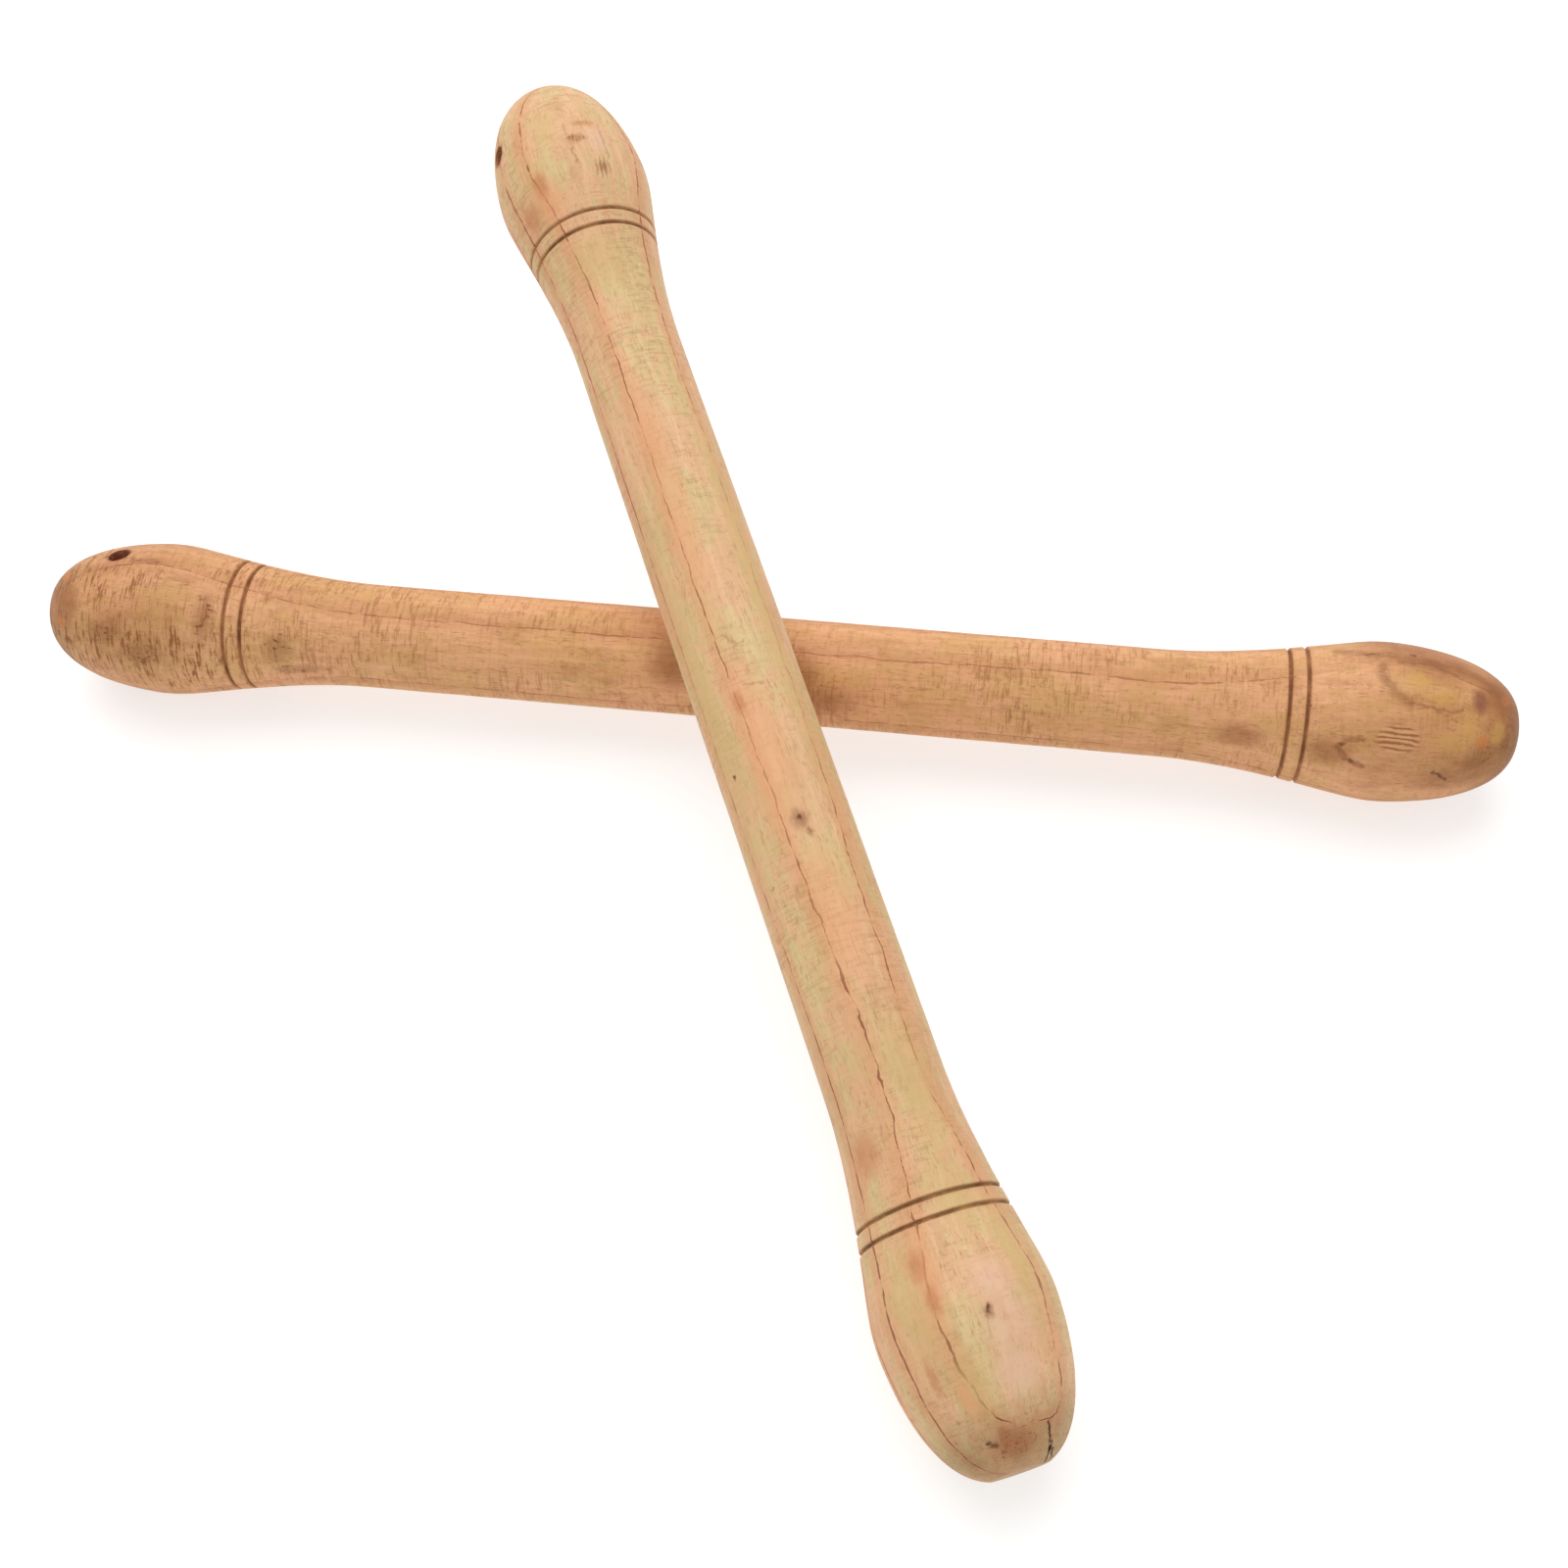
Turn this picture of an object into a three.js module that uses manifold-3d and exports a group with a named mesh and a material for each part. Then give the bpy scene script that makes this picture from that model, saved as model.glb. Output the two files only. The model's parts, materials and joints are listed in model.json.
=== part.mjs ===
// A pair of claves: two turned hardwood sticks with a swollen head at each end.
// The held clave lies on its two heads along X. The striking clave lies across
// it, its far end raised and its near head down on the table.
// Millimetres and degrees, +Z up, origin at the bottom centre of the pair.

import * as THREE from 'three';
import Module from 'manifold-3d';
import { mergeVertices } from 'three/addons/utils/BufferGeometryUtils.js';

// One clave
const LENGTH = 250;
const BELLY_RADIUS = 13.5;
const BELLY_STATION = 22.8;
const SHAFT_RADIUS = 9.12;
const SHAFT_STATION = 57;
const HELD_SLIMMING = 0.982;

// Sanded flats where the stick was held between the lathe's centres. The near end of the
// striking clave is sanded further back, to a broad flat.
const SMALL_FLAT_RADIUS = 2;
const BROAD_FLAT_RADIUS = 4.4;

// Two burnt lines below each head
const LINE_STATIONS = [34.7, 37.5];
const LINE_WIDTH = 0.9;
const LINE_DEPTH = 0.45;

// Cord hole drilled across one head of each clave
const CORD_HOLE_RADIUS = 1.8;
const CORD_HOLE_STATION = 13.5;
const HELD_HOLE_LEAN = 22;
const STRIKING_HOLE_LEAN = -65;

// How the pair lies
const CROSSING_ANGLE = 64.6;
const CROSSING_ON_HELD = 119.2;
const CROSSING_ON_STRIKING = 107.8;
const RESTING_GAP = 0.3;

// Fineness of the turned surface
const AROUND = 48;
const TIP_STEPS = 12;
const FLARE_STEPS = 10;

const wasm = await Module();
wasm.setup();

// Outline of one head from the end flat to the start of the shaft.
// Each point is (radius, station), the station counted from the end of the stick.
function headOutline() {
  const dome = new THREE.CubicBezierCurve(
    new THREE.Vector2(SMALL_FLAT_RADIUS, 0),
    new THREE.Vector2(BELLY_RADIUS - 0.4, 0.6),
    new THREE.Vector2(BELLY_RADIUS, BELLY_STATION - 2),
    new THREE.Vector2(BELLY_RADIUS, BELLY_STATION),
  );
  const flare = new THREE.CubicBezierCurve(
    new THREE.Vector2(BELLY_RADIUS, BELLY_STATION),
    new THREE.Vector2(BELLY_RADIUS, BELLY_STATION + 2.7),
    new THREE.Vector2(SHAFT_RADIUS, SHAFT_STATION - 14.2),
    new THREE.Vector2(SHAFT_RADIUS, SHAFT_STATION),
  );
  const smooth = [...dome.getPoints(TIP_STEPS), ...flare.getPoints(FLARE_STEPS).slice(1)];
  return withBurntLines(smooth);
}

function radiusAt(outline, station) {
  const next = outline.findIndex((point) => point.y >= station);
  const low = outline[next - 1];
  const high = outline[next];
  return THREE.MathUtils.mapLinear(station, low.y, high.y, low.x, high.x);
}

// Cuts a V-shaped line into the outline at each line station.
function withBurntLines(outline) {
  const half = LINE_WIDTH / 2;
  const clear = (point) => LINE_STATIONS.every((line) => Math.abs(point.y - line) > half);
  const lined = outline.filter(clear);
  for (const line of LINE_STATIONS) {
    const edges = [line - half, line + half];
    lined.push(...edges.map((edge) => new THREE.Vector2(radiusAt(outline, edge), edge)));
    lined.push(new THREE.Vector2(radiusAt(outline, line) - LINE_DEPTH, line));
  }
  return lined.sort((a, b) => a.y - b.y);
}

// Takes the end of a head off square, so far back that the flat has this radius.
function sandedBack(outline, flatRadius) {
  const kept = outline.findIndex((point) => point.x > flatRadius);
  const low = outline[kept - 1];
  const high = outline[kept];
  const station = THREE.MathUtils.mapLinear(flatRadius, low.x, high.x, low.y, high.y);
  return [new THREE.Vector2(flatRadius, station), ...outline.slice(kept)];
}

// Whole outline of a clave. The near end is the one the stick points to along its own +X.
function claveOutline(nearHead, slimming) {
  const near = nearHead.map((point) => new THREE.Vector2(point.x, LENGTH - point.y));
  const whole = [...headOutline(), ...near.reverse()];
  return whole.map((point) => new THREE.Vector2(point.x * slimming, point.y));
}

function manifoldOf(geometry) {
  const bare = geometry.clone();
  bare.deleteAttribute('normal');
  bare.deleteAttribute('uv');
  const merged = mergeVertices(bare, 1e-4);
  const mesh = new wasm.Mesh({
    numProp: 3,
    vertProperties: new Float32Array(merged.attributes.position.array),
    triVerts: new Uint32Array(merged.index.array),
  });
  return new wasm.Manifold(mesh);
}

function geometryOf(manifold) {
  const mesh = manifold.getMesh();
  const geometry = new THREE.BufferGeometry();
  geometry.setAttribute('position', new THREE.BufferAttribute(mesh.vertProperties, 3));
  geometry.setIndex(new THREE.BufferAttribute(mesh.triVerts, 1));
  geometry.computeVertexNormals();
  return geometry;
}

// A turned stick along its own +X, starting at X = 0, with a straight hole through its far
// head. The hole leans from the stick's top towards its +Y side.
function claveGeometry(outline, holeLean) {
  const start = new THREE.Vector2(0, outline[0].y);
  const end = new THREE.Vector2(0, outline[outline.length - 1].y);
  const turned = new THREE.LatheGeometry([start, ...outline, end], AROUND);
  turned.rotateZ(-Math.PI / 2);
  const drill = new THREE.CylinderGeometry(
    CORD_HOLE_RADIUS,
    CORD_HOLE_RADIUS,
    3 * BELLY_RADIUS,
    20,
  );
  drill.rotateX(Math.PI / 2 - THREE.MathUtils.degToRad(holeLean));
  drill.translate(CORD_HOLE_STATION, 0, 0);
  return geometryOf(manifoldOf(turned).subtract(manifoldOf(drill)));
}

function makeClave(name, outline, holeLean, color, roughness) {
  const material = new THREE.MeshStandardMaterial({ color, roughness, metalness: 0 });
  const clave = new THREE.Mesh(claveGeometry(outline, holeLean), material);
  clave.name = name;
  return clave;
}

const heldOutline = claveOutline(headOutline(), HELD_SLIMMING);
const strikingOutline = claveOutline(sandedBack(headOutline(), BROAD_FLAT_RADIUS), 1);

const held = makeClave('held_clave', heldOutline, HELD_HOLE_LEAN, '#c79466', 0.55);
const striking = makeClave('striking_clave', strikingOutline, STRIKING_HOLE_LEAN, '#dbb27e', 0.6);

// The held clave rests on its heads. The striking clave rests across it on one line of
// touch, and on the lowest point of its near head.
const heldAxisHeight = BELLY_RADIUS * HELD_SLIMMING;
const axisSpacing = SHAFT_RADIUS * (1 + HELD_SLIMMING) + RESTING_GAP;
const crossing = THREE.MathUtils.degToRad(CROSSING_ANGLE);

function crossingHeight(tilt) {
  return heldAxisHeight + axisSpacing * Math.hypot(1, Math.tan(tilt) / Math.sin(crossing));
}

function lowestPoint(tilt) {
  const heights = strikingOutline.map((point) => {
    const drop = (point.y - CROSSING_ON_STRIKING) * Math.sin(tilt);
    return crossingHeight(tilt) - drop - point.x * Math.cos(tilt);
  });
  return Math.min(...heights);
}

// The steeper the tilt, the lower the near head, so halving finds where it touches down.
function restingTilt() {
  let shallow = 0;
  let steep = Math.PI / 6;
  for (let step = 0; step < 50; step += 1) {
    const middle = (shallow + steep) / 2;
    if (lowestPoint(middle) > 0) {
      shallow = middle;
    } else {
      steep = middle;
    }
  }
  return steep;
}

const tilt = restingTilt();
const along = new THREE.Vector3(
  Math.cos(crossing) * Math.cos(tilt),
  -Math.sin(crossing) * Math.cos(tilt),
  -Math.sin(tilt),
);
const side = new THREE.Vector3(0, 0, 1).cross(along).normalize();
const top = along.clone().cross(side);
const farEnd = new THREE.Vector3(CROSSING_ON_HELD, 0, crossingHeight(tilt));
farEnd.addScaledVector(along, -CROSSING_ON_STRIKING);

held.geometry.translate(0, 0, heldAxisHeight);
striking.geometry.applyMatrix4(new THREE.Matrix4().makeBasis(along, side, top).setPosition(farEnd));

// Origin to the bottom centre of the pair
const bounds = new THREE.Box3().setFromObject(held).expandByObject(striking);
const centre = bounds.getCenter(new THREE.Vector3());
for (const clave of [held, striking]) {
  clave.geometry.translate(-centre.x, -centre.y, -bounds.min.z);
}

const claves = new THREE.Group();
claves.name = 'claves';
claves.add(held, striking);

export default claves;
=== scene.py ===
"""A pair of turned hardwood claves lying crossed on a pale table.

Each clave is one turned stick. Its own coordinates run in millimetres: x along the stick from
its far end, y to its side and z to its top. Angles round the stick are in degrees, counted from
its top towards its side.
"""

import json
import math

import bmesh
import bpy
import numpy as np
from mathutils import Matrix, Quaternion, Vector


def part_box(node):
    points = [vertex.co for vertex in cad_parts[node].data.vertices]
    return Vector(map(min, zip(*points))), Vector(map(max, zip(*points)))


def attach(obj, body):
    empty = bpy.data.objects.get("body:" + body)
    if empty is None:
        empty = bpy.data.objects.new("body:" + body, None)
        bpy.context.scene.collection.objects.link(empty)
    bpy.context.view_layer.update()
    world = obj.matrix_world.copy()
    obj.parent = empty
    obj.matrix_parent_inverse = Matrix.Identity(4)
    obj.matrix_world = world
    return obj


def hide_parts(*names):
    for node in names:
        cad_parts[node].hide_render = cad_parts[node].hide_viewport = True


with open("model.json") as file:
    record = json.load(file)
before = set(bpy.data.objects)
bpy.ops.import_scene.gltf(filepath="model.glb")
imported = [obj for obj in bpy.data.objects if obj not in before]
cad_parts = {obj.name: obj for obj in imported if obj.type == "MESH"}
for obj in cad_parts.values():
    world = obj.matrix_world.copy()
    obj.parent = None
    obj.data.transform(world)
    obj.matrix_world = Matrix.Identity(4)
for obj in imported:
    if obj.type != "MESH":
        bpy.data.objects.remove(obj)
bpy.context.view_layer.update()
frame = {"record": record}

MM = 0.001

# Outline of one head, in millimetres. Stations are counted from the end of the stick.
LENGTH = 250
SMALL_FLAT_RADIUS = 2
BROAD_FLAT_RADIUS = 4.4
BELLY_RADIUS = 13.5
BELLY_STATION = 22.8
SHAFT_RADIUS = 9.12
SHAFT_STATION = 57

# Two burnt lines below each head
LINE_STATIONS = (34.7, 37.5)
LINE_WIDTH = 0.9
LINE_DEPTH = 0.45

# Cord hole across the far head, leaning from the stick's top towards its side
HOLE_RADIUS = 1.8
HOLE_STATION = 13.5
HELD_HOLE_LEAN = 22
STRIKING_HOLE_LEAN = -65

# Sanding evens out the outline over this reach each way: not at the tip, and in full from just
# before the belly on
EASING_REACH = 6.0
EASING_START = 11
EASING_FULL = 18

# Fineness of the turned surface. Rows stand closest in the burnt lines and a margin past them.
COLUMNS = 220
DOME_ROWS = 70
FLARE_ROWS = 45
FLAT_RINGS = 5
LINE_MARGIN = 0.8
LINE_ROW_GAP = 0.1
SHAFT_ROW_GAP = 1.8
LEAST_ROW_GAP = 0.02

# Sides of the cord hole's cutter
DRILL_SIDES = 72

# Edges that turn by more than this stay sharp
SHARP_EDGE = math.radians(38)

# Gap between the lines of a torn patch
TORN_SPACING = 0.85


# ---------------------------------------------------------------- shape


def cubic(start, leave, arrive, end, steps):
    """Points of one cubic curve."""
    t = np.linspace(0, 1, steps)[:, None]
    terms = ((1 - t) ** 3, 3 * t * (1 - t) ** 2, 3 * t * t * (1 - t), t**3)
    return sum(term * np.array(point, float) for term, point in zip(terms, (start, leave, arrive, end)))


def dome(steps):
    """The rounded end of a head as (station, radius) points."""
    return cubic(
        (0, SMALL_FLAT_RADIUS),
        (0.6, BELLY_RADIUS - 0.4),
        (BELLY_STATION - 2, BELLY_RADIUS),
        (BELLY_STATION, BELLY_RADIUS),
        steps,
    )


def flare(steps):
    """The neck from a head's belly down to the shaft as (station, radius) points."""
    return cubic(
        (BELLY_STATION, BELLY_RADIUS),
        (BELLY_STATION + 2.7, BELLY_RADIUS),
        (SHAFT_STATION - 14.2, SHAFT_RADIUS),
        (SHAFT_STATION, SHAFT_RADIUS),
        steps,
    )


def eased(stations, outline):
    """Radii of the outline with the belly and the neck evened out, as sanding leaves them."""
    total = np.zeros(len(stations))
    weights = 0.0
    for shift in np.linspace(-1, 1, 41):
        weight = 0.5 + 0.5 * math.cos(math.pi * shift)
        total += weight * np.interp(stations + shift * EASING_REACH, outline[:, 0], outline[:, 1])
        weights += weight
    sharp = np.interp(stations, outline[:, 0], outline[:, 1])
    share = np.clip((stations - EASING_START) / (EASING_FULL - EASING_START), 0, 1)
    return sharp + (total / weights - sharp) * share


class Stick:
    """Where one clave lies, and its turned outline."""

    def __init__(self, far_end, along, slimming, near_flat_radius):
        self.far_end = far_end
        side = Vector((0, 0, 1)).cross(along).normalized()
        top = along.cross(side)
        self.turn = Matrix((along, side, top)).transposed()
        self.slimming = slimming
        dome_outline = dome(800)
        head = np.vstack([dome_outline, flare(800)[1:]])
        tip = np.arange(0, 1, 0.002)
        rest_of_head = np.arange(1, SHAFT_STATION + 8, 0.05)
        self.head_stations = np.concatenate([tip, rest_of_head])
        self.head_radii = eased(self.head_stations, head)
        self.near_cut = float(np.interp(near_flat_radius, dome_outline[:, 1], dome_outline[:, 0]))

    def radius(self, station):
        """Smooth radius, without the burnt lines."""
        from_end = np.minimum(station, LENGTH - np.asarray(station, float))
        return np.interp(from_end, self.head_stations, self.head_radii) * self.slimming

    def point(self, station, angle, lift=0.0):
        """A point on the surface, or lifted off it, in the stick's own millimetres."""
        reach = float(self.radius(station)) + lift
        turn = math.radians(angle)
        return Vector((station, reach * math.sin(turn), reach * math.cos(turn)))

    def place(self):
        """Matrix from the stick's own millimetres to the shared frame."""
        return Matrix.Translation(self.far_end) @ self.turn.to_4x4() @ Matrix.Scale(MM, 4)


def row_stations(stick):
    """Stations of the rows of vertices, close together on the domes and in the burnt lines."""
    first_line, last_line = LINE_STATIONS
    in_lines = np.arange(first_line - LINE_MARGIN, last_line + LINE_MARGIN, LINE_ROW_GAP)
    head = np.concatenate([dome(DOME_ROWS)[:, 0], flare(FLARE_ROWS)[1:, 0], in_lines])
    shaft = np.arange(SHAFT_STATION + SHAFT_ROW_GAP, LENGTH - SHAFT_STATION, SHAFT_ROW_GAP)
    near_head = LENGTH - head
    near_flat = LENGTH - stick.near_cut
    near_head = np.append(near_head[near_head < near_flat - LEAST_ROW_GAP], near_flat)
    return np.unique(np.round(np.concatenate([head, shaft, near_head]), 4))


def groove_depth(stations, angles):
    """Depth of the burnt lines, rounded in section and cut a little unevenly by hand."""
    from_end = np.minimum(stations, LENGTH - stations)
    depth = np.zeros(np.broadcast(stations, angles).shape)
    for number, line in enumerate(LINE_STATIONS):
        sway = 0.04 * np.sin(angles + number) + 0.02 * np.sin(3 * angles + 2 * number)
        reach = np.clip(np.abs(from_end - line - sway) / (LINE_WIDTH / 2), 0, 1)
        bite = LINE_DEPTH * (0.93 + 0.07 * np.sin(2 * angles + 1.3 * number))
        depth += bite * np.cos(reach * math.pi / 2) ** 1.5
    return depth


def handwork(stations, angles, seed):
    """How far the surface falls short of a perfect turning: sanding and chatter, never outwards."""
    waves = (
        (0.016, 31.0, 1, 0.4),
        (0.012, 17.0, 2, 1.9),
        (0.010, 9.5, 3, 4.1),
        (0.007, 5.3, 5, 2.6),
        (0.004, 3.1, 2, 5.2),
    )
    fall = np.zeros(np.broadcast(stations, angles).shape)
    for depth, length, around, start in waves:
        phase = 2 * math.pi * stations / length + start + seed
        fall += depth * (1 + np.sin(phase) * np.cos(around * angles + start * seed))
    return fall


def dent_depth(stick, stations, angles, dents):
    """Depth of small dents and bruises, each (station, angle, half length, half width, depth)."""
    depth = np.zeros(np.broadcast(stations, angles).shape)
    for station, angle, half_length, half_width, deep in dents:
        around = (angles - math.radians(angle) + math.pi) % (2 * math.pi) - math.pi
        across = around * float(stick.radius(station)) / half_width
        away = ((stations - station) / half_length) ** 2 + across**2
        depth += deep * np.exp(-away)
    return depth


def turned_mesh(stick, name, dents, seed):
    """The turned stick, closed by a ringed flat at each end."""
    stations = row_stations(stick)
    angles = np.linspace(0, 2 * math.pi, COLUMNS, endpoint=False)
    rows, columns = stations[:, None], angles[None, :]
    radii = stick.radius(stations)[:, None] - groove_depth(rows, columns)
    radii = radii - handwork(rows, columns, seed) * np.clip(radii / SHAFT_RADIUS, 0, 1)
    radii = radii - dent_depth(stick, rows, columns, dents)
    lengthwise = np.broadcast_to(rows, radii.shape)
    grid = np.stack([lengthwise, radii * np.sin(columns), radii * np.cos(columns)], axis=-1)
    start_flat = flat_rings(grid[0])
    end_flat = flat_rings(grid[-1])
    rings = np.concatenate([start_flat[::-1], grid, end_flat])
    vertices = rings.reshape(-1, 3)
    centres = np.array([[stations[0], 0, 0], [stations[-1], 0, 0]])
    vertices = np.vstack([vertices, centres])
    faces = ring_faces(len(rings))
    mesh = bpy.data.meshes.new(name)
    mesh.from_pydata(vertices.tolist(), [], faces)
    mesh.validate()
    return mesh


def flat_rings(edge):
    """Smaller and smaller rings inside the edge of an end flat."""
    shares = np.linspace(1, 0, FLAT_RINGS + 2)[1:-1]
    rings = edge[None] * shares[:, None, None]
    rings[..., 0] = edge[:, 0]
    return rings


def ring_faces(count):
    """Quads between neighbouring rings, and a fan at each end."""
    here = np.arange(COLUMNS)
    after = (here + 1) % COLUMNS
    faces = []
    for ring in range(count - 1):
        low, high = ring * COLUMNS, (ring + 1) * COLUMNS
        quads = np.stack([low + here, high + here, high + after, low + after], axis=1)
        faces.extend(quads.tolist())
    first, last = count * COLUMNS, count * COLUMNS + 1
    top = (count - 1) * COLUMNS
    faces.extend([[first, a, b] for a, b in zip(here.tolist(), after.tolist())])
    faces.extend([[last, top + b, top + a] for a, b in zip(here.tolist(), after.tolist())])
    return faces


def loft(sections):
    """Closed solid through equal sections, each a list of points in the same order."""
    size = len(sections[0])
    points = [point for section in sections for point in section]
    faces = []
    for level in range(len(sections) - 1):
        low, high = level * size, (level + 1) * size
        for corner in range(size):
            after = (corner + 1) % size
            faces.append((low + corner, low + after, high + after, high + corner))
    faces.append(tuple(reversed(range(size))))
    faces.append(tuple(range((len(sections) - 1) * size, len(sections) * size)))
    return points, faces


def drill(stick, lean):
    """The cord hole's cutter: a straight drill whose mouths are worn round and a little ragged."""
    turn = math.radians(lean)
    axis = Vector((0, math.sin(turn), math.cos(turn)))
    across = Vector((1, 0, 0))
    other = axis.cross(across)
    middle = Vector((HOLE_STATION, 0, 0))
    surface = float(stick.radius(HOLE_STATION))
    # How much wider the mouth is worn at each height over the surface
    heights = np.array([-1.0, -0.40, -0.25, -0.12, 0.0, 0.15, 0.35, 0.8, 2.0])
    widening = np.array([0, 0.01, 0.04, 0.09, 0.16, 0.28, 0.45, 0.9, 2.2])
    reaches = np.concatenate([-(surface + heights[::-1]), surface + heights])
    both_mouths = np.concatenate([widening[::-1], widening])
    sections = []
    for reach, wider in zip(reaches, both_mouths):
        section = []
        for step in range(DRILL_SIDES):
            turned = 2 * math.pi * step / DRILL_SIDES
            ragged = 0.7 * (1 + 0.25 * math.sin(3 * turned + 0.7) + 0.2 * math.sin(7 * turned + reach))
            outwards = across * math.cos(turned) + other * math.sin(turned)
            section.append(middle + axis * reach + outwards * (HOLE_RADIUS + wider * ragged))
        sections.append(section)
    return loft(sections)


def split(stick, path):
    """Cutter for a drying split: a thin blade along (station, angle, width, depth) points.

    It starts a lift above the surface, so that it cuts right through it.
    """
    lift = 0.6
    sections = []
    for number, (station, angle, width, depth) in enumerate(path):
        here = stick.point(station, angle)
        before = path[max(number - 1, 0)]
        after = path[min(number + 1, len(path) - 1)]
        course = (stick.point(*after[:2]) - stick.point(*before[:2])).normalized()
        outward = Vector((0, here.y, here.z)).normalized()
        sideways = course.cross(outward).normalized()
        lifted = here + outward * lift
        spread = width / 2 * (1 + lift / depth)
        sections.append([lifted + sideways * spread, here - outward * depth, lifted - sideways * spread])
    return loft(sections)


def cut(mesh, name, cutters):
    """The mesh with each cutter taken away from it."""
    piece = bpy.data.objects.new(name, mesh)
    bpy.context.scene.collection.objects.link(piece)
    for points, faces in cutters:
        blade_mesh = bpy.data.meshes.new(name + "_cutter")
        blade_mesh.from_pydata(points, [], faces)
        blade = bpy.data.objects.new(name + "_cutter", blade_mesh)
        bpy.context.scene.collection.objects.link(blade)
        make_outward(blade_mesh)
        modifier = piece.modifiers.new("cut", "BOOLEAN")
        modifier.operation = "DIFFERENCE"
        modifier.solver = "EXACT"
        modifier.object = blade
        bpy.context.view_layer.update()
        evaluated = piece.evaluated_get(bpy.context.evaluated_depsgraph_get())
        cut_mesh = bpy.data.meshes.new_from_object(evaluated)
        piece.modifiers.clear()
        piece.data = cut_mesh
        bpy.data.objects.remove(blade)
    return piece


def make_outward(mesh):
    """Turns every face of a closed mesh to point outwards."""
    shell = bmesh.new()
    shell.from_mesh(mesh)
    bmesh.ops.recalc_face_normals(shell, faces=shell.faces)
    shell.to_mesh(mesh)
    shell.free()


def make_clave(name, stick, material, lean, dents, splits, seed):
    """One whole clave: turned, bruised, drilled, split and finished, lying in its place."""
    mesh = turned_mesh(stick, name, dents, seed)
    make_outward(mesh)
    cutters = [drill(stick, lean)] + [split(stick, path) for path in splits]
    piece = cut(mesh, name, cutters)
    piece.data.transform(stick.place())
    piece.data.materials.clear()
    piece.data.materials.append(material)
    piece.data.shade_smooth()
    piece.data.set_sharp_from_angle(angle=SHARP_EDGE)
    return piece


# ---------------------------------------------------------------- shader nodes


class Field:
    """One output of a node, with arithmetic that adds the Math nodes it needs."""

    def __init__(self, finish, socket):
        self.finish = finish
        self.socket = socket

    def __add__(self, other):
        return self.finish.maths("ADD", self, other)

    def __radd__(self, other):
        return self.finish.maths("ADD", other, self)

    def __sub__(self, other):
        return self.finish.maths("SUBTRACT", self, other)

    def __rsub__(self, other):
        return self.finish.maths("SUBTRACT", other, self)

    def __mul__(self, other):
        return self.finish.maths("MULTIPLY", self, other)

    def __rmul__(self, other):
        return self.finish.maths("MULTIPLY", other, self)

    def __truediv__(self, other):
        return self.finish.maths("DIVIDE", self, other)

    def __abs__(self):
        return self.finish.maths("ABSOLUTE", self)


class Finish:
    """A material as it is being built up."""

    def __init__(self, name):
        self.material = bpy.data.materials.new(name)
        self.material.use_nodes = True
        self.tree = self.material.node_tree
        self.tree.nodes.clear()

    def add(self, kind, sockets, output=0, **settings):
        """Adds a node: first its settings, then a value or a link for each socket named."""
        node = self.tree.nodes.new("ShaderNode" + kind)
        for name, value in settings.items():
            setattr(node, name, value)
        for name, value in sockets.items():
            if isinstance(value, Field):
                self.tree.links.new(value.socket, node.inputs[name])
            else:
                node.inputs[name].default_value = value
        return Field(self, node.outputs[output]) if node.outputs else None

    def maths(self, operation, *values):
        """One Math node."""
        return self.add("Math", dict(enumerate(values)), operation=operation)

    def vector(self, operation, *values, output=0):
        """One Vector Math node. Its second output is the plain number of a length or a product."""
        return self.add("VectorMath", dict(enumerate(values)), output, operation=operation)

    def mix(self, share, under, over, blend="MIX"):
        """Colour that goes from under to over as share goes from 0 to 1."""
        return self.add("Mix", {0: share, 6: under, 7: over}, 2, data_type="RGBA", blend_type=blend)

    def rise(self, value, start, end, low=0.0, high=1.0):
        """Smooth change from low at start to high at end."""
        sockets = {0: value, 1: start, 2: end, 3: low, 4: high}
        return self.add("MapRange", sockets, interpolation_type="SMOOTHSTEP")

    def either(self, first, second):
        """The larger of two values."""
        return self.maths("MAXIMUM", first, second)

    def noise(self, place, stretch, detail=2.0, roughness=0.5, output=0):
        """Noise with so many swings per millimetre along each direction, in the range 0 to 1."""
        stretched = self.vector("MULTIPLY", place, stretch)
        sockets = {"Vector": stretched, "Scale": 1.0, "Detail": detail, "Roughness": roughness}
        return self.add("TexNoise", sockets, output)

    def surface(self, colour, roughness, normal, **constants):
        """The surface shader. Constants go straight on its sockets."""
        sockets = {"Base Color": colour, "Roughness": roughness, "Normal": normal}
        sockets.update({name.replace("_", " "): value for name, value in constants.items()})
        shader = self.add("BsdfPrincipled", sockets)
        self.add("OutputMaterial", {"Surface": shader})
        return self.material


def paint(red, green, blue):
    """A colour given on the 0 to 255 scale of a paint chart, as the shader needs it."""
    linear = []
    for value in (red, green, blue):
        share = value / 255
        linear.append(share / 12.92 if share <= 0.04045 else ((share + 0.055) / 1.055) ** 2.4)
    return (*linear, 1.0)


def shade(red, green, blue):
    """A plain multiplier that darkens a colour."""
    return (red, green, blue, 1.0)


# ---------------------------------------------------------------- wood


class Timber:
    """What one clave's wood is like. Every fact is a named value of its own."""

    def __init__(self, **facts):
        self.__dict__.update(facts)


def oval_distance(finish, place, stick, oval):
    """How far out in an oval (station, angle, half length, half width) a point lies: 1 at its edge."""
    station, angle, half_length, half_width = oval
    centre = stick.point(station, angle)
    stretch = (1 / half_length, 1 / half_width, 1 / half_width)
    shift = tuple(-c * s for c, s in zip(centre, stretch))
    return finish.vector("LENGTH", finish.vector("MULTIPLY_ADD", place, stretch, shift), output=1)


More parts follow.
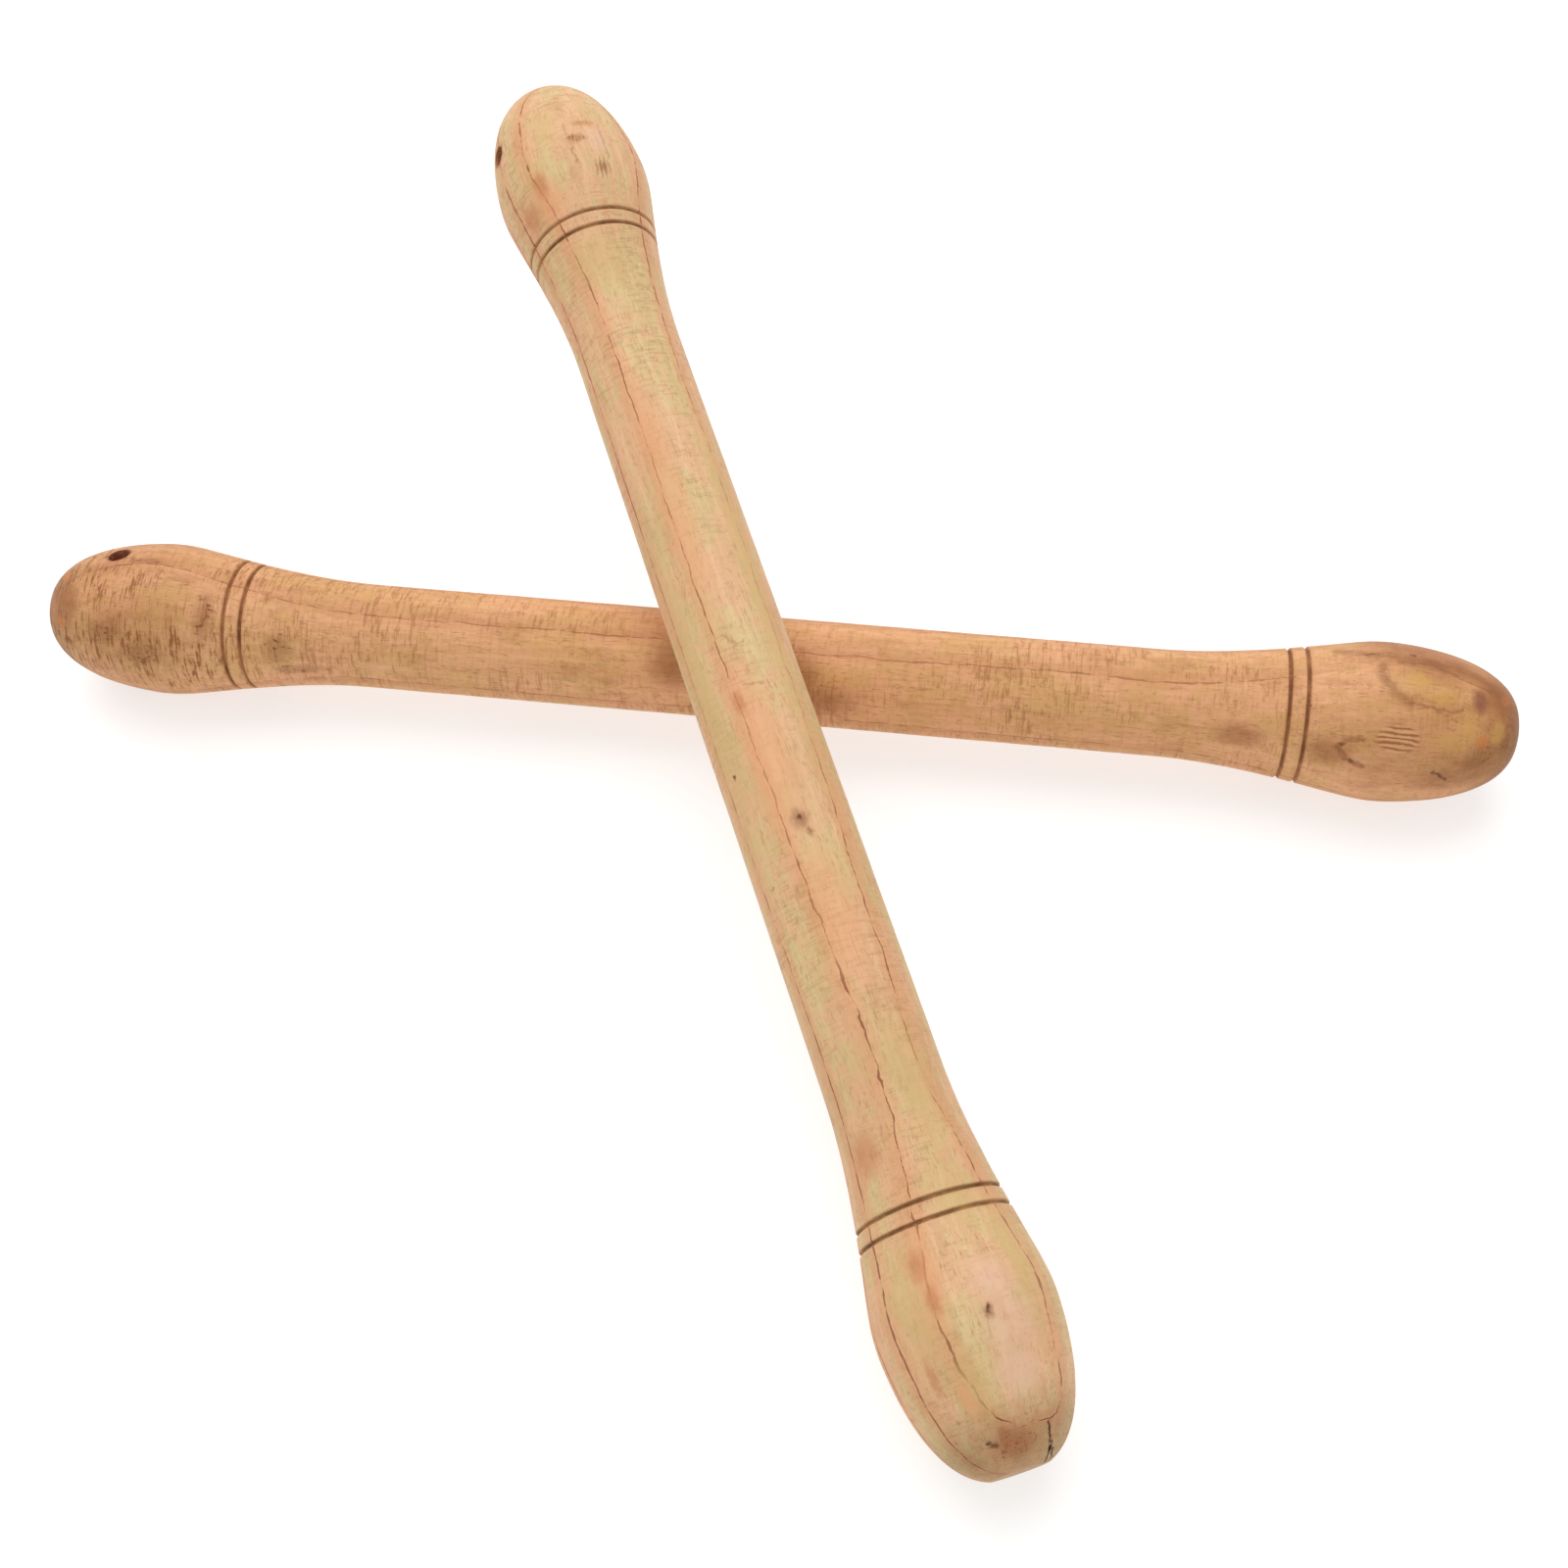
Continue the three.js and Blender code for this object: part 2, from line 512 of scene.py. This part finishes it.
def spots(finish, place, stick, ovals, soft):
    """Mask of soft-edged ovals, full inside the share of their size that soft gives."""
    total = 0.0
    for oval in ovals:
        total = finish.either(total, finish.rise(oval_distance(finish, place, stick, oval), 1.0, soft))
    return total


def seam(finish, place, stick, path, half_width, soft):
    """Mask of a line along (station, angle) points."""
    nearest = float(LENGTH)
    for start_mark, end_mark in zip(path, path[1:]):
        start = stick.point(*start_mark)
        course = stick.point(*end_mark) - start
        offset = finish.vector("SUBTRACT", place, tuple(start))
        share = finish.vector("DOT_PRODUCT", offset, tuple(course / course.length_squared), output=1)
        share = finish.maths("MINIMUM", finish.maths("MAXIMUM", share, 0.0), 1.0)
        foot = finish.add("VectorMath", {0: tuple(course), 3: share}, operation="SCALE")
        away = finish.vector("DISTANCE", offset, foot, output=1)
        nearest = finish.maths("MINIMUM", nearest, away)
    return finish.rise(nearest, half_width, half_width * soft)


def stick_place(finish, stick):
    """The stick's own millimetres, fixed to the piece, so that the grain moves with it."""
    rest = finish.add("TexCoord", {}, 3)
    sockets = {
        "Vector": rest,
        "Location": stick.far_end,
        "Rotation": stick.turn.to_euler(),
        "Scale": (MM, MM, MM),
    }
    return finish.add("Mapping", sockets, vector_type="TEXTURE")


def wandering(finish, place, stretch, reach):
    """The place shifted by slow noise, by up to about half of reach along each direction."""
    sway = finish.vector("SUBTRACT", finish.noise(place, stretch, 2.0, 0.55, 1), (0.5, 0.5, 0.5))
    return finish.vector("MULTIPLY_ADD", sway, reach, place)


def growth_rings(finish, along, grain, stick, timber):
    """Masks of the dense late wood and of the thin dark line that ends each ring."""
    turn = math.radians(timber.ring_facing)
    depth = finish.vector("DOT_PRODUCT", grain, (0.0, math.sin(turn), math.cos(turn)), output=1)
    sideways = finish.vector("DOT_PRODUCT", grain, (0.0, math.cos(turn), -math.sin(turn)), output=1)
    for station, reach, rise in timber.drifts:
        depth = depth + finish.rise(abs(along - station), reach, 0.0, 0.0, rise)
    for oval, rise in timber.swirls:
        depth = depth + finish.rise(oval_distance(finish, grain, stick, oval), 1.0, 0.0, 0.0, rise)
    ring = finish.maths("FRACT", (depth - timber.first_ring) / timber.ring_spacing)
    late = finish.rise(ring, 0.35, 1.0) * finish.rise(ring, 1.0, 0.96)
    slope = finish.either(abs(sideways) / SHAFT_RADIUS, 0.25)
    from_line = finish.maths("MINIMUM", ring, 1.0 - ring) * timber.ring_spacing / slope
    breaks = finish.noise(grain, (0.30, 0.7, 0.7), 3.0, 0.66)
    thickness = finish.rise(breaks, 0.40, 0.66, 0.10, timber.line_width)
    line = finish.rise(from_line, thickness, thickness * 0.3)
    line = line * finish.rise(breaks, 0.36, 0.52, 0.22, 1.0)
    soft_line = finish.rise(from_line, 2.2, 0.3)
    shown = 1.0
    for oval in timber.ringless:
        shown = finish.rise(oval_distance(finish, grain, stick, oval), 0.75, 1.0) * shown
    return late, line * shown, soft_line * shown


def turning_marks(finish, place):
    """Fine hatching round the stick from the lathe tool and the sandpaper, worked in patches."""
    fine = finish.noise(place, (2.2, 0.16, 0.16), 3.0, 0.75)
    broken = finish.noise(place, (1.5, 0.42, 0.42), 3.0, 0.7)
    both = fine * 0.5 + broken * 0.5
    busy = finish.rise(finish.noise(place, (0.05, 0.09, 0.09), 2.0, 0.5), 0.38, 0.60)
    hatch = finish.rise(both, 0.50, 0.60) * (0.25 + 0.75 * busy)
    polished = finish.rise(both, 0.47, 0.38) * (0.25 + 0.75 * busy)
    return fine, hatch, polished


def burnt_line_masks(finish, place, from_end):
    """Masks of the charred lines and of the scorched wood beside them, and how patchy they are."""
    middle = sum(LINE_STATIONS) / 2
    spread = (LINE_STATIONS[1] - LINE_STATIONS[0]) / 2
    from_burn = abs(abs(from_end - middle) - spread)
    patchy = finish.noise(place, (0.5, 0.22, 0.22), 3.0, 0.65)
    halo = finish.rise(from_burn + (patchy - 0.5) * 0.8, 1.0, 0.2)
    return finish.rise(from_burn, 0.46, 0.12), halo, finish.rise(patchy, 0.38, 0.66)


def plain_wood(finish, place, grain, timber):
    """The wood before its rings: clouds of pink, gold and dirt, crossed by fibres, pores and flecks."""
    cloud = finish.noise(place, (0.07, 0.13, 0.13), 3.0, 0.6)
    cloud_fine = finish.noise(place, (0.30, 0.50, 0.50), 3.0, 0.65)
    tint = finish.rise(cloud * 0.6 + cloud_fine * 0.4, 0.44, 0.56)
    colour = finish.mix(tint, timber.pink, timber.gold)
    dirt = finish.rise(finish.noise(place, (0.10, 0.22, 0.22), 4.0, 0.65), 0.52, 0.72)
    colour = finish.mix(dirt * timber.dirt_strength, colour, timber.dirt)
    fibre = finish.noise(grain, (0.045, 1.0, 1.0), 4.0, 0.62)
    colour = finish.mix(finish.rise(fibre, 0.38, 0.68) * 0.5, colour, timber.tan)
    colour = finish.mix(finish.rise(fibre, 0.47, 0.30) * 0.30, colour, timber.pale)
    fine = finish.noise(grain, (0.12, 5.0, 5.0), 2.0, 0.6)
    colour = finish.mix(finish.rise(fine, 0.52, 0.75) * 0.30, colour, timber.late_wood)
    pore = finish.rise(finish.noise(grain, (0.40, 3.8, 3.8), 1.0, 0.5), 0.62, 0.74)
    colour = finish.mix(pore * timber.pore_strength, colour, timber.pore_brown)
    fleck = finish.rise(finish.noise(grain, (0.7, 1.9, 1.9), 3.0, 0.6), 0.56, 0.70)
    colour = finish.mix(fleck * timber.fleck_strength, colour, timber.fleck_brown)
    return colour, cloud, cloud_fine, fibre, fine, pore, fleck


def placed_marks(finish, colour, ragged, stick, timber, cloud_fine, broken_up):
    """Stains, knots, rough patches, seams and patches of painted shade and painted shadow at their own
    places, all a little ragged.
    """
    for ovals, soft, strength, stain in timber.stains:
        share = spots(finish, ragged, stick, ovals, soft)
        colour = finish.mix(share * (strength * (0.5 + cloud_fine)), colour, stain)
    rough_share = spots(finish, ragged, stick, timber.rough_patches, 0.25) * timber.rough_strength
    rough_share = finish.maths("MINIMUM", rough_share * broken_up, 1.0)
    colour = finish.mix(rough_share, colour, timber.rough_brown)
    for paths, half_width, soft, strength, stain in timber.seams:
        share = 0.0
        for path in paths:
            share = finish.either(share, seam(finish, ragged, stick, path, half_width, soft))
        colour = finish.mix(share * (strength * (0.4 + 1.2 * cloud_fine)), colour, stain)
    return colour


def torn_grain(finish, place, ragged, stick, timber, cloud_fine):
    """Short dark and pale lines side by side, where the tool tore the grain."""
    torn_place = wandering(finish, place, (0.3, 0.9, 0.9), (0.0, 0.7, 0.7))
    slant = 4
    turn = math.radians(timber.torn[1] + slant)
    torn_side = (0.04, math.cos(turn), -math.sin(turn))
    across = finish.vector("DOT_PRODUCT", torn_place, torn_side, output=1)
    wave = finish.maths("SINE", across * (2 * math.pi / TORN_SPACING) + 5.0 * cloud_fine)
    share = finish.rise(oval_distance(finish, ragged, stick, timber.torn), 1.0, 0.7)
    share = share * timber.torn_strength
    return finish.rise(wave, 0.0, 0.9) * share, finish.rise(wave, -0.2, -1.0) * share * 0.5


def cord_hole_masks(finish, ragged, along, timber):
    """Masks of the hole's own wall and of the grubby wood round its mouths."""
    lean = math.radians(timber.hole_lean)
    offset = finish.vector("SUBTRACT", ragged, (HOLE_STATION, 0.0, 0.0))
    across = finish.vector("CROSS_PRODUCT", offset, (0.0, math.sin(lean), math.cos(lean)))
    from_drill = finish.vector("LENGTH", across, output=1)
    far_head = finish.rise(along, 30.0, 20.0)
    return finish.rise(from_drill, 2.3, 1.75) * far_head, finish.rise(from_drill, 3.0, 1.9) * far_head


def hardwood(name, stick, timber):
    """Oiled hardwood seen as one block: rings, fibres and pores run through it and meet the surface."""
    finish = Finish(name)
    place = stick_place(finish, stick)
    along = finish.add("SeparateXYZ", {0: place}, 0)
    from_end = finish.maths("MINIMUM", along, LENGTH - along)
    grain = wandering(finish, place, (0.022, 0.05, 0.05), (0.0, timber.wander, timber.wander))
    grain = wandering(finish, grain, (0.25, 0.5, 0.5), (0.0, 0.6, 0.6))
    colour, cloud, cloud_fine, fibre, fine, pore, fleck = plain_wood(finish, place, grain, timber)

    late, line, soft_line = growth_rings(finish, along, grain, stick, timber)
    colour = finish.mix(late * timber.late_strength, colour, timber.late_wood)
    colour = finish.mix(soft_line * timber.band_strength * (0.4 + 1.2 * cloud_fine), colour, timber.band)
    colour = finish.mix(line * timber.line_strength, colour, timber.line_brown)

    ridges, hatch, polished = turning_marks(finish, place)
    rough_head = finish.rise(along, 44.0, 30.0, 1.0, timber.far_roughness)
    rough_head = rough_head * finish.rise(along, 200.0, 222.0, 1.0, timber.near_roughness)
    hatch = hatch * rough_head
    colour = finish.mix(hatch * timber.turning_strength, colour, timber.pore_brown)
    colour = finish.mix(polished * rough_head * timber.turning_strength * 0.45, colour, timber.pale)

    # Darker stretches along the stick, the one at the near tip being painted shade, and darker ends,
    # partly open end grain that drinks more oil and partly painted shade
    for station, reach, strength, darker in timber.stretches:
        share = finish.rise(abs(along - station) + (cloud - 0.5) * reach * 0.4, reach, reach * 0.35)
        colour = finish.mix(share * strength, colour, darker, "MULTIPLY")
    # The darker ends are partly painted shade on the tips
    end_grain_and_shade = finish.rise(from_end + (cloud_fine - 0.5) * 3.0, timber.end_reach, 0.0)
    colour = finish.mix(end_grain_and_shade * timber.end_strength, colour, timber.end_shade, "MULTIPLY")

    ragged = wandering(finish, place, (0.8, 1.1, 1.1), (1.4, 1.4, 1.4))
    broken_up = 0.55 + 1.0 * finish.rise(ridges * 0.5 + fleck * 0.5, 0.2, 0.6)
    colour = placed_marks(finish, colour, ragged, stick, timber, cloud_fine, broken_up)
    torn, torn_pale = torn_grain(finish, place, ragged, stick, timber, cloud_fine)
    colour = finish.mix(torn, colour, timber.pore_brown)
    colour = finish.mix(torn_pale, colour, timber.pale)

    char, halo, patchy = burnt_line_masks(finish, place, from_end)
    colour = finish.mix(halo * patchy * 0.35, colour, timber.scorch)
    burnt = finish.mix(patchy, timber.scorch, timber.char)
    colour = finish.mix(char * timber.burn_strength, colour, burnt)

    bore, grubby = cord_hole_masks(finish, ragged, along, timber)
    colour = finish.mix(grubby * 0.35, colour, timber.scorch)
    # The hole's wall is painted darker, as painted shade deep inside the bore
    colour = finish.mix(bore * 0.95, colour, timber.bore_brown)

    # Sheen and relief
    roughness = 0.48 + 0.14 * fibre + 0.10 * hatch + 0.12 * pore + 0.18 * char + 0.25 * bore
    relief = 0.30 * fine + 0.25 * fibre - 0.30 * ridges - 0.25 * hatch - 0.5 * pore - 0.6 * line
    relief = relief - 0.8 * torn
    bump = finish.add("Bump", {"Strength": 0.6, "Distance": 0.0001, "Height": relief})
    return finish.surface(colour, roughness, bump, IOR=1.45, Specular_IOR_Level=0.35)


def striking_timber():
    """The paler stick. Its rings face up and a little to its side, about six millimetres apart."""
    dark_specks = (
        (152.2, 0, 0.7, 0.55),
        (141.6, -51, 0.8, 0.55),
        (161, -50, 0.5, 0.4),
        (229.4, 6.5, 0.9, 0.5),
        (246.0, -20, 0.9, 0.8),
        (245.4, -23, 0.6, 0.6),
        (247.0, -14, 0.6, 0.5),
    )
    knots = (
        (152.5, 0, 2.8, 2.2),
        (154.6, 5, 1.5, 0.8),
        (229.8, 7, 1.7, 1.1),
        (27, 22.5, 1.9, 1.4),
        (25.6, 4, 1.1, 0.8),
    )
    brown_stains = (
        (203.5, -45, 5.0, 3.4),
        (221, -27, 3.4, 2.2),
        (226, -22, 3.6, 1.6),
        (31, -50, 4.6, 3.0),
        (27, -30, 4.0, 2.0),
        (17, 18, 1.0, 3.0),
        (236, -40, 5.0, 1.2),
        (131, -18, 3.0, 1.4),
    )
    pink_patches = (
        (226, 16, 5.4, 5.0),
        (232, 17, 6.4, 6.0),
        (238, 14, 5.6, 5.0),
        (21, 24, 4.5, 3.0),
    )
    golden_patches = (
        (226, -38, 16.0, 4.6),
        (213, 12, 9.0, 5.0),
        (238, -16, 7.0, 3.6),
        (224, 38, 16.0, 3.4),
        (196, 18, 18.0, 4.4),
        (130, -55, 50.0, 3.6),
        (110, 42, 60.0, 3.0),
        (16, -14, 8.0, 4.0),
        (44, -6, 9.0, 6.0),
    )
    orange_patches = (
        (92, -12, 36.0, 3.4),
        (140, -8, 26.0, 5.0),
        (168, 4, 18.0, 5.0),
        (222, -20, 12.0, 2.2),
        (240, -24, 6.0, 1.4),
        (30, -28, 7.0, 4.0),
    )
    head_lines = (
        ((16.6, 2), (20.4, 2.5), (24.6, 3), (26.6, 4)),
        ((17.2, 29.5), (21.6, 28.5), (25.0, 29)),
        ((9.0, -50), (11.5, -51.5), (14.5, -51)),
        ((119, -11), (121.5, -3), (121.0, 6)),
        ((128.5, -8), (129.0, 10)),
    )
    tip_split = (((245.2, 31.5), (246.6, 34), (247.6, 37), (249.2, 58)),)
    return Timber(
        ring_facing=11.5,
        first_ring=7.6,
        ring_spacing=5.7,
        wander=1.2,
        line_width=0.26,
        line_strength=0.85,
        drifts=((22, 34, -1.7), (215, 90, -1.2), (232, 30, -2.1)),
        swirls=(((243, 42, 9, 5), 1.2),),
        ringless=(),
        pink=paint(230, 182, 140),
        gold=paint(216, 190, 136),
        tan=paint(212, 170, 124),
        pale=paint(238, 203, 158),
        dirt=paint(186, 140, 92),
        dirt_strength=0.45,
        late_wood=paint(198, 142, 96),
        late_strength=0.26,
        band=paint(224, 152, 106),
        band_strength=0.36,
        pore_brown=paint(150, 100, 60),
        fleck_brown=paint(168, 128, 70),
        fleck_strength=0.42,
        pore_strength=0.32,
        turning_strength=0.26,
        far_roughness=1.0,
        near_roughness=0.7,
        line_brown=paint(134, 72, 38),
        stretches=(
            (200, 26, 0.25, shade(0.86, 0.82, 0.78)),
            (36, 12, 0.3, shade(0.86, 0.80, 0.74)),
            # The stretch at the near tip is painted shade
            (250, 11, 0.9, shade(0.70, 0.66, 0.58)),
        ),
        end_reach=7.0,
        end_strength=0.3,
        end_shade=shade(0.80, 0.72, 0.62),
        stains=(
            (golden_patches, 0.2, 0.60, paint(210, 176, 118)),
            (orange_patches, 0.2, 0.55, paint(228, 162, 116)),
            (pink_patches, 0.15, 0.62, paint(230, 188, 160)),
            (brown_stains, 0.2, 0.60, paint(190, 120, 74)),
            (knots, 0.05, 0.75, paint(146, 92, 52)),
            (dark_specks, 0.3, 0.85, paint(84, 50, 30)),
        ),
        seams=(
            (head_lines, 0.38, 0.1, 0.40, paint(150, 104, 62)),
            (tip_split, 0.40, 0.4, 0.90, paint(72, 42, 24)),
        ),
        rough_patches=(
            (246.6, -2, 2.9, 4.0),
            (245.2, -9, 1.6, 1.8),
            (20.5, 8, 1.2, 2.4),
        ),
        rough_strength=1.0,
        rough_brown=paint(156, 88, 44),
        torn=(27, 22, 2.6, 1.8),
        torn_strength=0.45,
        scorch=paint(166, 116, 68),
        char=paint(104, 62, 28),
        burn_strength=0.85,
        hole_lean=STRIKING_HOLE_LEAN,
        bore_brown=paint(176, 118, 84),
    )


def held_timber():
    """The browner stick. Its rings face up and to the front, with a small knot in the near head."""
    dark_specks = (
        (215.3, -27, 0.5, 0.6),
        (221.0, -54, 0.7, 0.6),
        (222.6, -67, 0.8, 0.5),
        (11.4, 22, 1.4, 0.7),
        (224.6, 20.5, 2.0, 0.45),
        (231.5, 23, 0.8, 0.5),
    )
    knots = ((242.0, -10, 1.9, 3.0),)
    brown_stains = (
        (232, 42, 16.0, 9.0),
        (236, 22, 12.0, 7.0),
        # The next oval is painted shade under the front of the near head
        (240, -78, 12.0, 4.0),
        (245, 2, 5.0, 5.0),
        (241, -68, 6.0, 3.0),
        (219, -62, 6.0, 3.6),
        (205, -60, 6.0, 3.0),
        # The next three ovals are painted shadow of the striking clave, on both sides of the crossing
        (137, -66, 9.0, 4.4),
        (132, -40, 7.0, 6.0),
        (112, -40, 6.0, 6.0),
        (6, -30, 4.0, 6.0),
    )
    golden = (
        (232.2, -1.5, 3.0, 2.0),
        (235.8, -13, 3.6, 2.0),
        (237.6, -46, 5.0, 2.6),
        (240.4, -36, 2.8, 2.8),
        (245.3, -36, 1.8, 3.2),
    )
    orange = ((242.8, -46, 1.5, 1.5), (4.5, 5, 1.2, 1.6), (4.8, -48, 1.2, 1.4), (246.4, 2, 1.2, 1.4))
    head_bands = (
        ((219.6, 28), (224.6, 20.5), (231, 18), (238, 19), (243.5, 13), (246.2, 3)),
        ((226.6, 9), (226.4, 0), (228.1, -12.5), (230.6, -20)),
    )
    head_lines = (
        ((229.0, 13), (234.3, 15), (239.0, 7), (242.0, 4.5), (244.6, 5)),
        ((230.6, -20), (233.5, -22), (237.6, -23.5), (239.1, -20)),
    )
    curl = (((224.0, -48.5), (221.5, -50.5), (220.5, -57.5), (221.8, -65.5), (224.6, -70)),)
    checks = (((235.8, -71), (238.0, -79)),)
    return Timber(
        ring_facing=-52,
        first_ring=6.9,
        ring_spacing=7.2,
        wander=1.2,
        line_width=0.24,
        line_strength=0.55,
        drifts=((20, 30, 0.4),),
        swirls=(((236, -6, 16, 6), 2.2),),
        ringless=((236, -10, 24, 20),),
        pink=paint(229, 170, 123),
        gold=paint(217, 167, 108),
        tan=paint(208, 150, 101),
        pale=paint(234, 188, 142),
        dirt=paint(168, 110, 62),
        dirt_strength=0.5,
        late_wood=paint(178, 118, 74),
        late_strength=0.28,
        band=paint(196, 124, 78),
        band_strength=0.22,
        pore_brown=paint(146, 86, 42),
        fleck_brown=paint(146, 92, 48),
        fleck_strength=0.36,
        pore_strength=0.36,
        turning_strength=0.48,
        far_roughness=1.8,
        near_roughness=0.4,
        line_brown=paint(122, 68, 36),
        stretches=(
            (4, 34, 0.75, shade(0.84, 0.79, 0.72)),
            (246, 26, 0.6, shade(0.84, 0.77, 0.66)),
            # The stretch at the near tip is painted shade
            (250, 11, 0.8, shade(0.80, 0.70, 0.56)),
        ),
        end_reach=9.5,
        end_strength=1.0,
        end_shade=shade(0.64, 0.58, 0.48),
        stains=(
            # Brown patches, with painted shade and painted shadow among them
            (brown_stains, 0.2, 0.60, paint(150, 90, 48)),
            (golden, 0.3, 0.50, paint(212, 162, 86)),
            (orange, 0.3, 0.60, paint(216, 124, 56)),
            (knots, 0.3, 0.75, paint(140, 80, 62)),
            (dark_specks, 0.3, 0.80, paint(84, 46, 26)),
        ),
        seams=(
            (head_bands, 1.5, 0.1, 0.50, paint(140, 86, 48)),
            (head_lines, 0.50, 0.1, 0.50, paint(134, 82, 46)),
            (curl, 0.80, 0.1, 0.60, paint(136, 80, 42)),
            (checks, 0.50, 0.3, 0.80, paint(92, 52, 28)),
        ),
        rough_patches=(
            (21, -64, 5.0, 3.0),
            (31.5, -30, 2.4, 6.0),
            (44, -56, 3.6, 4.0),
            (20, 12, 5.0, 1.0),
            (14, -50, 5.0, 3.0),
            (47, -80, 7.0, 1.6),
            # The next patch is painted shadow beside the crossing, under the striking clave
            (127.5, -42, 6.0, 5.0),
            (243, -60, 4.0, 3.0),
        ),
        rough_strength=0.75,
        rough_brown=paint(140, 84, 42),
        torn=(229.4, -46.5, 3.9, 2.7),
        torn_strength=0.8,
        scorch=paint(160, 102, 62),
        char=paint(106, 58, 28),
        burn_strength=0.85,
        hole_lean=HELD_HOLE_LEAN,
        bore_brown=paint(150, 84, 64),
    )


# ---------------------------------------------------------------- table, light and camera


def make_table():
    """A broad pale table top, very slightly mottled and lit a little from within like a light table."""
    mesh = bpy.data.meshes.new("table_top")
    half = 6.0
    corners = [(-half, -half, 0), (half, -half, 0), (half, half, 0), (-half, half, 0)]
    mesh.from_pydata(corners, [], [(0, 1, 2, 3)])
    table = bpy.data.objects.new("table_top", mesh)
    bpy.context.scene.collection.objects.link(table)
    finish = Finish("pale_table")
    place = finish.add("TexCoord", {}, 3)
    mottle = finish.noise(place, (40.0, 40.0, 40.0), 3.0, 0.6)
    colour = finish.mix(mottle, (0.50, 0.50, 0.495, 1.0), (0.53, 0.53, 0.53, 1.0))
    bump = finish.add("Bump", {"Strength": 0.02, "Distance": 0.0001, "Height": mottle})
    white = (1.0, 1.0, 1.0, 1.0)
    glow = {"Emission_Color": white, "Emission_Strength": 0.62}
    surface = finish.surface(colour, 0.75 + 0.1 * mottle, bump, Specular_IOR_Level=0.1, **glow)
    mesh.materials.append(surface)


def make_light():
    """Even white light from all round, and one broad soft light from above and behind."""
    world = bpy.data.worlds.new("studio")
    world.use_nodes = True
    backdrop = world.node_tree.nodes["Background"]
    backdrop.inputs["Color"].default_value = (1.0, 1.0, 1.0, 1.0)
    backdrop.inputs["Strength"].default_value = 0.60
    bpy.context.scene.world = world
    soft_box = bpy.data.lights.new("soft_box", "AREA")
    soft_box.shape = "SQUARE"
    soft_box.size = 1.6
    soft_box.energy = 17.0
    lamp = bpy.data.objects.new("soft_box", soft_box)
    towards = Vector((-0.16, 0.44, 0.88)).normalized()
    distance = 1.5
    lamp.location = towards * distance
    lamp.rotation_mode = "QUATERNION"
    lamp.rotation_quaternion = towards.to_track_quat("Z", "Y")
    bpy.context.scene.collection.objects.link(lamp)


def make_camera():
    """Looks down on the pair from the front, a little from the right."""
    aim = Vector((5.92, 1.07, 0)) * MM
    distance = 350.1 * MM
    elevation = math.radians(57.76)
    turned = math.radians(12.32)
    roll = math.radians(-5.245)
    level = math.cos(elevation)
    back = Vector((math.sin(turned) * level, -math.cos(turned) * level, math.sin(elevation)))
    lens = bpy.data.cameras.new("camera")
    lens.lens = 46.9
    lens.sensor_width = 36
    lens.clip_start = 0.01
    camera = bpy.data.objects.new("camera", lens)
    camera.location = aim + back * distance
    camera.rotation_mode = "QUATERNION"
    camera.rotation_quaternion = back.to_track_quat("Z", "Y") @ Quaternion((0, 0, 1), roll)
    bpy.context.scene.collection.objects.link(camera)
    bpy.context.scene.camera = camera


# ---------------------------------------------------------------- the pair


def held_stick():
    """The held clave lies along X, and fills its box."""
    low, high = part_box("held_clave")
    middle = (low + high) / 2
    slimming = (high.z - low.z) / 2 / (BELLY_RADIUS * MM)
    return Stick(Vector((low.x, middle.y, middle.z)), Vector((1, 0, 0)), slimming, SMALL_FLAT_RADIUS)


def striking_stick():
    """The striking clave is found from the mount on its sanded near end."""
    mount = next(m for m in frame["record"]["mounts"] if m["name"] == "striking_clave_end")
    along = Vector(mount["axis"]).normalized()
    stick = Stick(Vector((0, 0, 0)), along, 1.0, BROAD_FLAT_RADIUS)
    stick.far_end = Vector(mount["pos_m"]) - along * (LENGTH - stick.near_cut) * MM
    return stick


def make_pair():
    """Both claves, each with its own dents as (station, angle, half length, half width, depth)."""
    held = held_stick()
    striking = striking_stick()
    held_dents = (
        (11.0, 22, 1.5, 0.9, 0.25),
        (236.8, -74, 1.1, 0.3, 0.12),
        (215.2, -26, 0.4, 0.5, 0.15),
        (229, -47, 3.0, 2.2, 0.06),
        (96, -40, 2.2, 1.4, 0.05),
        (171, -62, 1.6, 1.0, 0.05),
    )
    striking_dents = (
        (245.8, -12, 2.0, 2.2, 0.10),
        (229.4, 6.5, 0.5, 0.4, 0.15),
        (152.5, 0, 1.4, 1.0, 0.06),
        (141.6, -51, 0.6, 0.5, 0.10),
        (68, 20, 2.4, 1.2, 0.05),
    )
    near_split = (
        (245.4, 32, 0.12, 0.2),
        (246.4, 33.8, 0.24, 0.4),
        (247.4, 36, 0.3, 0.5),
        (249.9, 60, 0.5, 0.7),
    )
    held_clave = make_clave(
        "held_clave_turned",
        held,
        hardwood("brown_hardwood", held, held_timber()),
        lean=HELD_HOLE_LEAN,
        dents=held_dents,
        splits=(),
        seed=0.0,
    )
    striking_clave = make_clave(
        "striking_clave_turned",
        striking,
        hardwood("pale_hardwood", striking, striking_timber()),
        lean=STRIKING_HOLE_LEAN,
        dents=striking_dents,
        splits=(near_split,),
        seed=2.3,
    )
    return held_clave, striking_clave


held_piece, striking_piece = make_pair()
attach(held_piece, "held_clave")
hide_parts("held_clave")
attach(striking_piece, "striking_clave")
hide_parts("striking_clave")

make_table()
make_light()
make_camera()
# Plain colours, with no film look
bpy.context.scene.view_settings.view_transform = "Standard"
